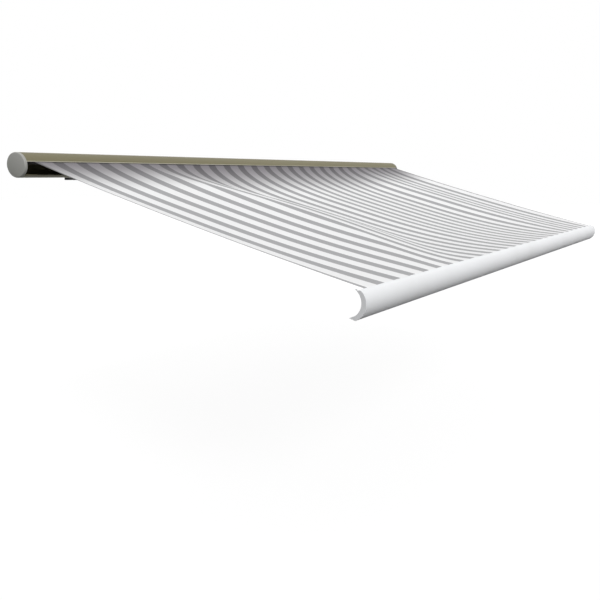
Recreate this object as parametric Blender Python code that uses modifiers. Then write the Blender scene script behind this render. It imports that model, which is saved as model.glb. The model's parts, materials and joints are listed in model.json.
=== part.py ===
# Full-cassette fabric awning with two folding arms, run out to its full reach
# Metres, +Z up. X runs along the wall and +Y points into the wall.
# The origin is the middle of the centre wall bracket's back face.
# Sections are drawn in (s, n): s runs out along the slope of the cloth, n stands square to it.

import math

import bmesh
import bpy
from mathutils import Matrix, Vector

# Overall sizes
WIDTH = 7.0
TRAVEL = 3.0
SLOPE = math.radians(16.0)
WALL_TO_AXIS = 0.118
GAP = 0.0003
CURVED_SEAT = 0.0008
HOLE_OVERRUN = 0.02
ARC_STEP = math.radians(9.0)
SHARP_EDGE = math.radians(32.0)

# Cassette shell, an oval whose long half lies along the slope
SHELL_S = 0.107
SHELL_N = 0.098
SHELL_WALL = 0.003
HOOD_LIP_ANGLE = math.radians(34.7)
HOOD_SEAM_ANGLE = math.radians(140.0)
LOWER_LIP_ANGLE = math.radians(327.0)
SEAM_ANGLE = math.radians(0.3)
LIP_BEAD = 0.006
CAP_DEPTH = 0.028
CAP_EDGE = 0.010
PORT_ANGLES = {"hood": [math.radians(90.0)], "back": [math.radians(160.0), math.radians(262.0)]}
PORT_RADIUS = 0.0065
PORT_INSET = 0.0055
PORT_HOLE = 0.0026
SCREW_CLEARANCE = 0.0003
SCREW_HEAD = 0.0045
SCREW_HEAD_HEIGHT = 0.003
SCREW_GRIP = 0.020
BEARING_PLATE = 0.008
PLATE_SIDES = 32

# Roller, its motor and its idler
ROLLER_S = -0.032
ROLLER_N = 0.0395
ROLLER_RADIUS = 0.039
ROLLER_WALL = 0.002
ROLLER_END_GAP = 0.035
TURNS_DEPTH = 0.0012
MOTOR_RADIUS = 0.025
MOTOR_LENGTH = 0.80
MOTOR_HEAD_RADIUS = 0.030
MOTOR_HEAD_DEPTH = 0.022
MOTOR_SPIGOT = 0.011
DRIVE_WHEEL = 0.030
DRIVE_STUB = 0.007
IDLER_PIN = 0.008
IDLER_FLANGE = 0.025
BUSH_WALL = 0.006
IDLER_COLLAR = 0.003

# Cloth
CLOTH_INSET = 0.10
CLOTH_THICKNESS = 0.0006
CLOTH_LIP_GAP = 0.0015
CLOTH_COLUMNS = 68
CLOTH_ROWS = 24

# The cloth's slack below the straight line from lip to bar, and the ridges that run out in it.
# The main ridge wanders in at mid reach, and the belly's left flank goes with it.
HEM_SLACK = 0.022
ARM_SLACK = 0.078
BELLY_SLACK = 0.158
HEM_PULL = 0.25
RIDGE_X = -2.29
RIDGE_WANDER = 0.70
RIDGE_SKEW = 1.1
RIDGE_HEIGHT = 0.045
RIDGE_REACH = 0.456
RIDGE_ROUND = 0.10
LEFT_FLANK_OFFSET = 0.577
LEFT_FLANK = 0.254
RIGHT_FLANK_X = 2.0
RIGHT_FLANK = 0.40
SLACK_SKEW = 0.75
SLACK_FULLNESS = 3.0
SOFT_RIDGES = [(0.0, 0.010, 0.30), (2.3, 0.020, 0.40)]

# Folding arms
ARM_SPACING = 5.92
OPEN_ANGLE = math.radians(12.0)
CLOSED_ANGLE = math.radians(89.0)
SHOULDER_S = -0.025
ARM_N = -0.0285
ARM_HEIGHT = 0.037
ARM_WIDTH = 0.048
ARM_OFFSET = 0.001
ARM_WALL = 0.003
ARM_ROUND = 0.009
KNUCKLE = 0.021
NECK = 0.022
BLOCK_START = 0.026
BLOCK_LENGTH = 0.014
SLOT_STOP = 0.001
EYE_THICKNESS = 0.0184
EYE_CLEARANCE = 0.0003
PIN_RADIUS = 0.008
PIN_HEAD = 0.012
PIN_HEAD_HEIGHT = 0.003
SPRING_ROD = 0.003
SPRING_RADIUS = 0.013
SPRING_START = 0.25
SPRING_COILS = 16
SPRING_PITCH = 0.025
SPRING_WAIST = 0.011
SPRING_FLAT = 0.5
SPRING_TAIL = 0.02
CABLE_RADIUS = 0.0025

# Arm brackets at both ends of the arms
FORK_ROOT = 0.026
FORK_REACH = 0.055
FORK_INNER = 0.020
FORK_OUTER = 0.035
TILT_WING = 0.060
TILT_BOLT = 0.005
TILT_BOLT_HEAD = 0.009
TILT_BOLT_X = 0.048
TILT_BOLT_HEAD_HEIGHT = 0.007
TILT_BOLT_GRIP = 0.012
CARRIER_LOW = -0.050
CARRIER_HIGH = 0.004

# Front bar, a hollow crescent that closes round the cassette
BAR_NEST = 0.0035
BAR_TIP_N = 0.084
BAR_FOOT_N = -0.089
BAR_CENTRE_S = 0.040
BAR_OUTER_S = 0.105
BAR_OUTER_N = 0.109
BAR_TOP_N = 0.098
BAR_WALL = 0.003
BAR_CAP = 0.006
BAR_TIP_BEVEL = 0.002
BAR_TOP_ROUND = 0.003
BAR_TOP_LAND = 0.008
BAR_FOOT_BEVEL = 0.001
GROOVE_N = 0.092
GROOVE_S = 0.0715
GROOVE_RADIUS = 0.004
GROOVE_MOUTH = 0.0016
KEDER_RADIUS = 0.0032

# Wall brackets
BRACKET_X = 2.82
BRACKET_WIDTH = 0.17
BRACKET_TOP_ANGLE = math.radians(150.0)
BRACKET_FRONT_ANGLE = math.radians(276.0)
CLAMP_FRONT_ANGLE = math.radians(294.0)
BRACKET_DEPTH = 0.022
BRACKET_FEET_CHAMFER = 0.014
BRACKET_TOP_Z = 0.085
BRACKET_PLATE = 0.012
CLAMP_BOLT = 0.004
CLAMP_BOLT_HEAD = 0.007
CLAMP_BOLT_HEAD_HEIGHT = 0.005
CLAMP_BOLT_GRIP = 0.030
WALL_HOLE = 0.0065
WALL_HOLE_X = 0.060
WALL_HOLES_Z = [0.050, -0.045]

# Directions and worked-out sizes
ACROSS = Vector((1.0, 0.0, 0.0))
TO_WALL = Vector((0.0, 1.0, 0.0))
HIGH = Vector((0.0, 0.0, 1.0))
OUT = Vector((0.0, -math.cos(SLOPE), -math.sin(SLOPE)))
UP = Vector((0.0, -math.sin(SLOPE), math.cos(SLOPE)))
AXIS = Vector((0.0, -WALL_TO_AXIS, 0.0))
INNER_S = SHELL_S - SHELL_WALL
INNER_N = SHELL_N - SHELL_WALL
SHELL_END = WIDTH / 2 - CAP_DEPTH - GAP
LINK = TRAVEL / (2 * (math.cos(OPEN_ANGLE) - math.cos(CLOSED_ANGLE)))
WRIST_S = SHOULDER_S + 2 * LINK * math.cos(CLOSED_ANGLE)
TURNS_RADIUS = ROLLER_RADIUS + GAP + TURNS_DEPTH
SLOT_HALF = EYE_THICKNESS / 2 + EYE_CLEARANCE
BORE = PIN_RADIUS + EYE_CLEARANCE
BAR_INNER_S = SHELL_S + BAR_NEST
BAR_INNER_N = SHELL_N + BAR_NEST
CLOTH_HALF = WIDTH / 2 - CLOTH_INSET
SHOULDER_X = ARM_SPACING / 2


def collection(name):
    group = bpy.data.collections.new(name)
    bpy.context.scene.collection.children.link(group)
    return group


for old in list(bpy.data.objects):
    bpy.data.objects.remove(old, do_unlink=True)
PARTS = collection("fabric_awning")
CUTTERS = collection("cutters")


def material(name, color, roughness, metallic=0.0):
    made = bpy.data.materials.new(name)
    made.use_nodes = True
    shader = made.node_tree.nodes["Principled BSDF"]
    shader.inputs["Base Color"].default_value = (*color, 1.0)
    shader.inputs["Roughness"].default_value = roughness
    shader.inputs["Metallic"].default_value = metallic
    return made


OLIVE_PAINT = material("olive_paint", (0.24, 0.23, 0.16), 0.45)
GREY_PAINT = material("grey_paint", (0.27, 0.28, 0.26), 0.5)
WHITE_PAINT = material("white_paint", (0.82, 0.83, 0.82), 0.35)
BLACK_PAINT = material("black_paint", (0.03, 0.03, 0.03), 0.5)
BARE_ALUMINIUM = material("bare_aluminium", (0.60, 0.61, 0.62), 0.4, 1.0)
STEEL = material("steel", (0.50, 0.50, 0.52), 0.35, 1.0)
BLACK_PLASTIC = material("black_plastic", (0.04, 0.04, 0.04), 0.55)
CLOTH = material("striped_cloth", (0.78, 0.79, 0.79), 0.9)


def place(origin, x_axis, y_axis):
    """A frame at origin whose x and y axes are given; z is square to both."""
    z_axis = x_axis.cross(y_axis)
    turn = Matrix((x_axis, y_axis, z_axis)).transposed()
    return Matrix.Translation(origin) @ turn.to_4x4()


def section_point(x, s, n, run=0.0):
    """A world point from a section's own (s, n), run metres further out along the slope."""
    return AXIS + ACROSS * x + OUT * (s + run) + UP * n


def section_frame(x, run=0.0):
    return place(section_point(x, 0.0, 0.0, run), OUT, UP)


def axis_empty(name, matrix):
    empty = bpy.data.objects.new(name, None)
    empty.matrix_world = matrix
    PARTS.objects.link(empty)
    return empty


def give(obj, name, surface, matrix, parent=None, group=None):
    """Name an object, put it in its collection and seat it in a frame or on its parent."""
    obj.name = name
    obj.data.name = name
    if surface:
        obj.data.materials.clear()
        obj.data.materials.append(surface)
    for owner in list(obj.users_collection):
        owner.objects.unlink(obj)
    (group or PARTS).objects.link(obj)
    obj.parent = parent
    if parent:
        obj.matrix_parent_inverse = Matrix.Identity(4)
        obj.matrix_basis = matrix
    else:
        obj.matrix_world = matrix
    return obj


def circle(radius, steps, at=(0.0, 0.0)):
    """A round outline of evenly spaced points."""
    turns = [2 * math.pi * i / steps for i in range(steps)]
    return [(at[0] + radius * math.cos(a), at[1] + radius * math.sin(a)) for a in turns]


def oval_arc(half_s, half_n, start, end, steps, at=(0.0, 0.0)):
    """Points along an oval from one angle to another, both ends included."""
    angles = [start + (end - start) * i / steps for i in range(steps + 1)]
    return [(at[0] + half_s * math.cos(a), at[1] + half_n * math.sin(a)) for a in angles]


def extrusion(name, outline, holes, length, surface, matrix, parent=None):
    """A flat outline with holes, as a 2D curve extruded to its length about the frame's plane."""
    curve = bpy.data.curves.new(name, "CURVE")
    curve.dimensions = "2D"
    curve.fill_mode = "BOTH"
    curve.extrude = length / 2
    for loop in [outline, *holes]:
        spline = curve.splines.new("POLY")
        spline.points.add(len(loop) - 1)
        for point, place_at in zip(spline.points, loop):
            point.co = (place_at[0], place_at[1], 0.0, 1.0)
        spline.use_cyclic_u = True
        spline.use_smooth = False
    return as_mesh(give(bpy.data.objects.new(name, curve), name, surface, matrix, parent))


def as_mesh(obj):
    """Swap a curve or a modified object for its own evaluated mesh, welded and shaded smooth."""
    bpy.context.view_layer.update()
    evaluated = obj.evaluated_get(bpy.context.evaluated_depsgraph_get())
    mesh = bpy.data.meshes.new_from_object(evaluated)
    welded = bmesh.new()
    welded.from_mesh(mesh)
    bmesh.ops.remove_doubles(welded, verts=welded.verts, dist=0.00001)
    bmesh.ops.recalc_face_normals(welded, faces=welded.faces)
    welded.to_mesh(mesh)
    welded.free()
    mesh.shade_smooth()
    mesh.set_sharp_from_angle(angle=SHARP_EDGE)
    name = obj.name
    parent = obj.parent
    matrix = obj.matrix_basis.copy() if parent else obj.matrix_world.copy()
    surface = obj.data.materials[0]
    bpy.data.objects.remove(obj, do_unlink=True)
    return give(bpy.data.objects.new(name, mesh), name, surface, matrix, parent)


def turned(name, profile, steps, surface, matrix, parent=None):
    """A turned shape: (radius, height) points, from the top centre down the outside."""
    mesh = bpy.data.meshes.new(name)
    corners = [(radius, 0.0, height) for radius, height in profile]
    mesh.from_pydata(corners, [(i, i + 1) for i in range(len(corners) - 1)], [])
    obj = give(bpy.data.objects.new(name, mesh), name, surface, matrix, parent)
    screw = obj.modifiers.new("turn", "SCREW")
    screw.steps = steps
    screw.render_steps = steps
    screw.use_merge_vertices = True
    screw.merge_threshold = 0.00001
    return as_mesh(obj)


def ring(name, outer, inner, length, steps, surface, matrix, parent=None):
    """A plain tube, its middle at the frame."""
    top, low = length / 2, -length / 2
    profile = [(inner, top), (outer, top), (outer, low), (inner, low), (inner, top)]
    return turned(name, profile, steps, surface, matrix, parent)


def rod_profile(stages, top):
    """Profile of a solid rod in stages of (radius, length), from its top end down."""
    profile = [(0.0, top)]
    height = top
    for radius, length in stages:
        profile.append((radius, height))
        height -= length
        profile.append((radius, height))
    profile.append((0.0, height))
    return profile


def box_cutter(name, low, high, matrix, parent=None):
    bpy.ops.mesh.primitive_cube_add(size=1.0)
    cutter = give(bpy.context.object, name, None, matrix, parent, CUTTERS)
    size = [high[i] - low[i] for i in range(3)]
    middle = [(high[i] + low[i]) / 2 for i in range(3)]
    cutter.data.transform(Matrix.Translation(middle) @ Matrix.Diagonal((*size, 1.0)))
    return hide_cutter(cutter)


def round_cutter(name, radius, length, steps, matrix, parent=None):
    bpy.ops.mesh.primitive_cylinder_add(vertices=steps, radius=radius, depth=length)
    return hide_cutter(give(bpy.context.object, name, None, matrix, parent, CUTTERS))


def hide_cutter(cutter):
    cutter.hide_render = True
    cutter.display_type = "WIRE"
    return cutter


def boolean(target, other, operation):
    step = target.modifiers.new(other.name, "BOOLEAN")
    step.operation = operation
    step.object = other
    step.solver = "EXACT"


def cut(target, *cutters):
    for cutter in cutters:
        boolean(target, cutter, "DIFFERENCE")
    return target


def side_name(side):
    return "left" if side < 0 else "right"


# Cassette shell: two thin extrusions with round ports for the end screws
def port_centre(angle):
    return (INNER_S - PORT_INSET) * math.cos(angle), (INNER_N - PORT_INSET) * math.sin(angle)


def inner_wall(start, end, ports):
    """The shell's inner wall from start back to end, stepping round each port."""
    points = []
    at = start
    reach = math.asin(PORT_RADIUS / INNER_N)
    for port in sorted(ports, reverse=True):
        steps = max(1, round((at - port - reach) / ARC_STEP))
        points += oval_arc(INNER_S, INNER_N, at, port + reach, steps)
        turn = port + math.pi / 2
        points += oval_arc(PORT_RADIUS, PORT_RADIUS, turn, turn + math.pi, 6, port_centre(port))
        at = port - reach
    steps = max(1, round((at - end) / ARC_STEP))
    return points + oval_arc(INNER_S, INNER_N, at, end, steps)


def port_holes(names):
    return [circle(PORT_HOLE, 8, port_centre(angle)) for name in names for angle in PORT_ANGLES[name]]


def build_shell():
    hood = oval_arc(SHELL_S, SHELL_N, HOOD_LIP_ANGLE, HOOD_SEAM_ANGLE, 14)
    hood += inner_wall(HOOD_SEAM_ANGLE, HOOD_LIP_ANGLE + LIP_BEAD / SHELL_S, PORT_ANGLES["hood"])
    for angle in (HOOD_LIP_ANGLE + LIP_BEAD / SHELL_S, HOOD_LIP_ANGLE):
        bead = (INNER_S - LIP_BEAD, INNER_N - LIP_BEAD)
        hood.append((bead[0] * math.cos(angle), bead[1] * math.sin(angle)))
    start = HOOD_SEAM_ANGLE + SEAM_ANGLE
    back = oval_arc(SHELL_S, SHELL_N, start, LOWER_LIP_ANGLE, 26)
    back += inner_wall(LOWER_LIP_ANGLE, start, PORT_ANGLES["back"])
    frame = section_frame(0.0)
    extrusion("hood", hood, port_holes(["hood"]), 2 * SHELL_END, OLIVE_PAINT, frame)
    extrusion("back_profile", back, port_holes(["back"]), 2 * SHELL_END, OLIVE_PAINT, frame)


# End caps: shallow oval cups with a rounded rim, over the bearing plates
def build_end_cap(side):
    rim = oval_arc(CAP_EDGE, CAP_EDGE, math.pi / 2, 0.0, 4, (SHELL_S - CAP_EDGE, CAP_DEPTH - CAP_EDGE))
    profile = [(0.0, CAP_DEPTH), *rim, (SHELL_S, 0.0), (INNER_S, 0.0)]
    profile += [(INNER_S, CAP_DEPTH - CAP_EDGE), (SHELL_S - CAP_EDGE, CAP_DEPTH - SHELL_WALL)]
    profile.append((0.0, CAP_DEPTH - SHELL_WALL))
    outward = OUT if side < 0 else -OUT
    frame = place(section_point(side * (WIDTH / 2 - CAP_DEPTH), 0.0, 0.0), outward, UP)
    frame = frame @ Matrix.Diagonal((1.0, SHELL_N / SHELL_S, 1.0, 1.0))
    turned("end_cap_" + side_name(side), profile, 40, GREY_PAINT, frame)


# Bearing plates: cast ovals against the shell's ends, with the end screws fused on
def build_bearing_plate(side):
    name = "bearing_plate_" + side_name(side)
    x = side * (WIDTH / 2 - CAP_DEPTH + BEARING_PLATE / 2)
    last = 2 * math.pi * (PLATE_SIDES - 1) / PLATE_SIDES
    outline = oval_arc(INNER_S - CURVED_SEAT, INNER_N - CURVED_SEAT, 0.0, last, PLATE_SIDES - 1)
    hole = MOTOR_SPIGOT if side < 0 else IDLER_PIN + EYE_CLEARANCE + BUSH_WALL
    seat = circle(hole + EYE_CLEARANCE, 20, (ROLLER_S, ROLLER_N))
    plate = extrusion(name, outline, [seat], BEARING_PLATE, BARE_ALUMINIUM, section_frame(x))
    outward = OUT if side < 0 else -OUT
    for angle in PORT_ANGLES["hood"] + PORT_ANGLES["back"]:
        s, n = port_centre(angle)
        frame = place(section_point(x, s, n), outward, UP)
        head = BEARING_PLATE / 2 + SCREW_HEAD_HEIGHT
        shank = PORT_HOLE - SCREW_CLEARANCE
        stages = [(SCREW_HEAD, SCREW_HEAD_HEIGHT), (shank, BEARING_PLATE + SCREW_GRIP)]
        screw = turned("end_screw", rod_profile(stages, head), 8, BARE_ALUMINIUM, frame)
        CUTTERS.objects.link(screw)
        PARTS.objects.unlink(screw)
        boolean(plate, hide_cutter(screw), "UNION")


# Roller with the tubular motor at its left end and a pin and bush at its right end
def build_roller():
    def at(x, side=-1):
        return place(section_point(x, ROLLER_S, ROLLER_N), OUT if side < 0 else -OUT, UP)

    plate_face = WIDTH / 2 - CAP_DEPTH
    tube_end = plate_face - ROLLER_END_GAP
    tube_inner = ROLLER_RADIUS - ROLLER_WALL
    ring("roller_tube", ROLLER_RADIUS, tube_inner, 2 * tube_end, 32, BARE_ALUMINIUM, at(0.0))
    ring("cloth_roll", TURNS_RADIUS, ROLLER_RADIUS + GAP, 2 * CLOTH_HALF, 32, CLOTH, at(0.0))
    spigot = BEARING_PLATE + 2 * GAP
    head = rod_profile([(MOTOR_SPIGOT, spigot), (MOTOR_HEAD_RADIUS, MOTOR_HEAD_DEPTH)], spigot)
    turned("motor_head", head, 24, BLACK_PLASTIC, at(-plate_face + GAP))
    motor_start = -plate_face + 2 * GAP + MOTOR_HEAD_DEPTH
    ring("motor_tube", MOTOR_RADIUS, DRIVE_STUB + EYE_CLEARANCE, MOTOR_LENGTH, 20, STEEL,
         at(motor_start + MOTOR_LENGTH / 2))
    motor_end = motor_start + MOTOR_LENGTH
    wheel = rod_profile([(DRIVE_STUB, DRIVE_WHEEL), (tube_inner - GAP, DRIVE_WHEEL)], DRIVE_WHEEL)
    turned("drive_wheel", wheel, 24, BLACK_PLASTIC, at(motor_end + GAP))
    outer = IDLER_PIN + EYE_CLEARANCE
    pin_length = ROLLER_END_GAP + BEARING_PLATE
    stages = [(IDLER_PIN, pin_length), (ROLLER_RADIUS, IDLER_COLLAR), (tube_inner - GAP, IDLER_FLANGE)]
    idler = rod_profile(stages, pin_length + IDLER_COLLAR)
    turned("idler_plug", idler, 24, BLACK_PLASTIC, at(tube_end + GAP, 1))
    ring("idler_bush", outer + BUSH_WALL, outer, BEARING_PLATE, 20, BLACK_PLASTIC,
         at(plate_face + BEARING_PLATE / 2, 1))


# Cloth: a thin stretched sheet that leaves the roll, passes under the hood's lip and runs to the bar
def lip_point():
    """The point just under the hood's bead that the cloth bears on."""
    bead = (INNER_S - LIP_BEAD, INNER_N - LIP_BEAD)
    return bead[0] * math.cos(HOOD_LIP_ANGLE), bead[1] * math.sin(HOOD_LIP_ANGLE) - CLOTH_LIP_GAP


def roll_exit():
    """Where the straight run from the lip meets the top of the cloth roll."""
    s, n = lip_point()
    reach = math.hypot(s - ROLLER_S, n - ROLLER_N)
    radius = TURNS_RADIUS + GAP + CLOTH_THICKNESS
    angle = math.atan2(n - ROLLER_N, s - ROLLER_S) + math.acos(radius / reach)
    return ROLLER_S + radius * math.cos(angle), ROLLER_N + radius * math.sin(angle)


def cloth_slack(x, t):
    """How far the cloth hangs below the straight line: tight hems, a wide belly and its ridges."""
    ridge_x = RIDGE_X + RIDGE_WANDER * math.sin(math.pi * t ** RIDGE_SKEW)
    left = math.tanh((x - ridge_x - LEFT_FLANK_OFFSET) / LEFT_FLANK)
    right = math.tanh((x - RIGHT_FLANK_X) / RIGHT_FLANK)
    belly = (BELLY_SLACK - ARM_SLACK) * (left - right) / 2
    ridges = RIDGE_HEIGHT * math.exp(-math.hypot((x - ridge_x) / RIDGE_REACH, RIDGE_ROUND))
    for soft_x, height, half_width in SOFT_RIDGES:
        ridges += height * math.exp(-((x - soft_x) / half_width) ** 2)
    along = 1 - abs(2 * t ** SLACK_SKEW - 1) ** SLACK_FULLNESS
    loose = along * (ARM_SLACK + belly - ridges)
    hem = HEM_SLACK * (1 - (2 * t - 1) ** 2)
    return loose + (hem - loose) * math.exp(-(CLOTH_HALF - abs(x)) / HEM_PULL)


def cloth_section(x, t):
    """Section point of the cloth at x, with t from 0 at the hood's lip to 1 at the bar's mouth."""
    start = lip_point()
    end = (TRAVEL + bar_tip_s() - CLOTH_LIP_GAP, GROOVE_N)
    s = start[0] + (end[0] - start[0]) * t
    n = start[1] + (end[1] - start[1]) * t
    return s, n - cloth_slack(x, t)


def build_cloth():
    bm = bmesh.new()
    roll = roll_exit()
    hold = (TRAVEL + GROOVE_S - GROOVE_RADIUS, GROOVE_N)
    rows = []
    for i in range(CLOTH_COLUMNS + 1):
        x = -CLOTH_HALF + 2 * CLOTH_HALF * i / CLOTH_COLUMNS
        points = [roll] + [cloth_section(x, j / CLOTH_ROWS) for j in range(CLOTH_ROWS + 1)] + [hold]
        rows.append([bm.verts.new(section_point(x, s, n)) for s, n in points])
    for a, b in zip(rows, rows[1:]):
        for j in range(len(a) - 1):
            bm.faces.new((a[j], a[j + 1], b[j + 1], b[j]))
    mesh = bpy.data.meshes.new("awning_cloth")
    bm.to_mesh(mesh)
    bm.free()
    mesh.shade_smooth()
    cloth = give(bpy.data.objects.new("awning_cloth", mesh), "awning_cloth", CLOTH, Matrix())
    sheet = cloth.modifiers.new("thickness", "SOLIDIFY")
    sheet.thickness = CLOTH_THICKNESS
    sheet.offset = 0.0


# Arm castings. Outlines are (u, v): u along the link from the pivot, v to the side that the tube is on.
def knuckle_outline():
    """One end casting, its pivot at the origin and its tube beyond the block."""
    block_end = BLOCK_START + BLOCK_LENGTH
    near, far = ARM_OFFSET, ARM_OFFSET + ARM_WIDTH
    round_end = oval_arc(KNUCKLE, KNUCKLE, math.radians(-50), math.radians(-270), 14)
    shoulder = [(NECK, KNUCKLE), (BLOCK_START, far), (block_end, far), (block_end, near)]
    return round_end + shoulder + [(BLOCK_START, near)]


def flip(points, along, across):
    return [(u * along, v * across) for u, v in points]


def eye(name, parent, at, along, hand, surface):
    """A casting with one middle plate that turns between a fork's two plates."""
    outline = [(u + at, v) for u, v in flip(knuckle_outline(), along, hand)]
    hole = circle(BORE, 16, (at, 0.0))
    body = extrusion(name, outline, [hole], ARM_HEIGHT, surface, Matrix(), parent)
    reach = sorted((at - along * 2 * KNUCKLE, at + along * (BLOCK_START - SLOT_STOP)))
    for number, sign in enumerate((-1, 1)):
        layer = sorted((sign * EYE_THICKNESS / 2, sign * ARM_HEIGHT))
        low = (reach[0], -2 * ARM_WIDTH, layer[0])
        high = (reach[1], 2 * ARM_WIDTH, layer[1])
        cut(body, box_cutter(name + "_layer_" + str(number), low, high, Matrix(), parent))
    return body


def fork(name, parent, at, along, hand, surface):
    """A casting with two outer plates and a slot between them."""
    outline = [(u + at, v) for u, v in flip(knuckle_outline(), along, hand)]
    hole = circle(BORE, 16, (at, 0.0))
    body = extrusion(name, outline, [hole], ARM_HEIGHT, surface, Matrix(), parent)
    reach = sorted((at - along * 2 * KNUCKLE, at + along * (BLOCK_START - SLOT_STOP)))
    low = (reach[0], -2 * ARM_WIDTH, -SLOT_HALF)
    high = (reach[1], 2 * ARM_WIDTH, SLOT_HALF)
    return cut(body, box_cutter(name + "_slot", low, high, Matrix(), parent))


def pivot_pin(name, parent, at):
    head_top = ARM_HEIGHT / 2 + GAP + PIN_HEAD_HEIGHT
    stages = [(PIN_HEAD, PIN_HEAD_HEIGHT), (PIN_RADIUS, ARM_HEIGHT + GAP)]
    frame = Matrix.Translation((at, 0.0, 0.0))
    turned(name, rod_profile(stages, head_top), 16, STEEL, frame, parent)


def rounded_rectangle(width, height, radius, centre):
    points = []
    for number in range(4):
        start = number * math.pi / 2
        right = 1 if number in (0, 3) else -1
        top = 1 if number in (0, 1) else -1
        corner = (centre + right * (width / 2 - radius), top * (height / 2 - radius))
        points += oval_arc(radius, radius, start, start + math.pi / 2, 3, corner)
    return points


def arm_tube(name, parent, hand):
    """The hollow rounded extrusion between a link's two castings."""
    centre = hand * (ARM_OFFSET + ARM_WIDTH / 2)
    outer = rounded_rectangle(ARM_WIDTH, ARM_HEIGHT, ARM_ROUND, centre)
    hollow_width, hollow_height = ARM_WIDTH - 2 * ARM_WALL, ARM_HEIGHT - 2 * ARM_WALL
    inner = rounded_rectangle(hollow_width, hollow_height, ARM_ROUND - ARM_WALL, centre)
    clear = BLOCK_START + BLOCK_LENGTH + GAP
    along = Matrix(((0, 0, 1, LINK / 2), (1, 0, 0, 0), (0, 1, 0, 0), (0, 0, 0, 1)))
    extrusion(name, outer, [inner], LINK - 2 * clear, WHITE_PAINT, along, parent)


def spring_and_cable(side, parent, hand):
    """The tension spring hooked to the shoulder casting, and the cable on to the elbow."""
    start = BLOCK_START + BLOCK_LENGTH + GAP
    profile = [(0.0, 0.0), (SPRING_ROD, 0.0), (SPRING_ROD, start - SPRING_START)]
    for coil in range(SPRING_COILS):
        low = start - SPRING_START - (coil + 1) * SPRING_PITCH
        profile.append((SPRING_RADIUS, low + SPRING_PITCH * (1 + SPRING_FLAT) / 2))
        profile.append((SPRING_RADIUS, low + SPRING_PITCH * (1 - SPRING_FLAT) / 2))
        profile.append((SPRING_WAIST, low))
    end = low - SPRING_TAIL
    profile += [(SPRING_ROD, low), (SPRING_ROD, end), (0.0, end)]
    centre = hand * (ARM_OFFSET + ARM_WIDTH / 2)
    toward = Matrix(((0, 0, -1, start), (0, 1, 0, centre), (1, 0, 0, 0), (0, 0, 0, 1)))
    turned(side_name(side) + "_arm_spring", profile, 8, STEEL, toward, parent)
    cable_start = start - end + GAP
    length = LINK - start - cable_start
    frame = Matrix(((0, 0, -1, cable_start), (0, 1, 0, centre), (1, 0, 0, 0), (0, 0, 0, 1)))
    stages = [(CABLE_RADIUS, length)]
    turned(side_name(side) + "_arm_cable", rod_profile(stages, 0.0), 8, STEEL, frame, parent)


# Brackets that carry the arms' forks on the cassette and on the front bar
def fork_bracket(name, side, s, run, facing, wing, surface):
    """A block with two plates for a pivot; facing is +1 where the block lies further out than the pivot."""
    inward = -side
    rear = facing * FORK_REACH
    root = facing * FORK_ROOT
    arc = oval_arc(KNUCKLE, KNUCKLE, math.radians(-90), math.radians(90), 12)
    rounded = [(-facing * u, v) for u, v in arc]
    outline = [(rear, -wing), (root, -wing), (root, -FORK_OUTER)]
    outline += [*rounded, (root, FORK_INNER), (rear, FORK_INNER)]
    outline = [(u, v * inward) for u, v in outline]
    frame = place(section_point(side * SHOULDER_X, s, ARM_N, run), OUT, ACROSS)
    body = extrusion(name, outline, [circle(BORE, 16)], ARM_HEIGHT, surface, frame)
    reach = sorted((facing * (FORK_ROOT - SLOT_STOP), -facing * 2 * KNUCKLE))
    low = (reach[0], -2 * ARM_WIDTH, -SLOT_HALF)
    high = (reach[1], 2 * ARM_WIDTH, SLOT_HALF)
    return cut(body, box_cutter(name + "_slot", low, high, frame))


def carrier(name, side, chord_s, half_s, half_n, facing, run, width, centre, surface):
    """A cast segment between a flat chord and the curved wall behind it."""
    top = math.asin(CARRIER_HIGH / half_n)
    low = math.asin(CARRIER_LOW / half_n)
    wall = oval_arc(half_s, half_n, low, top, 6)
    outline = [(facing * u, v) for u, v in wall] + [(chord_s, CARRIER_HIGH), (chord_s, CARRIER_LOW)]
    return extrusion(name, outline, [], width, surface, section_frame(side * centre, run))


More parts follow.
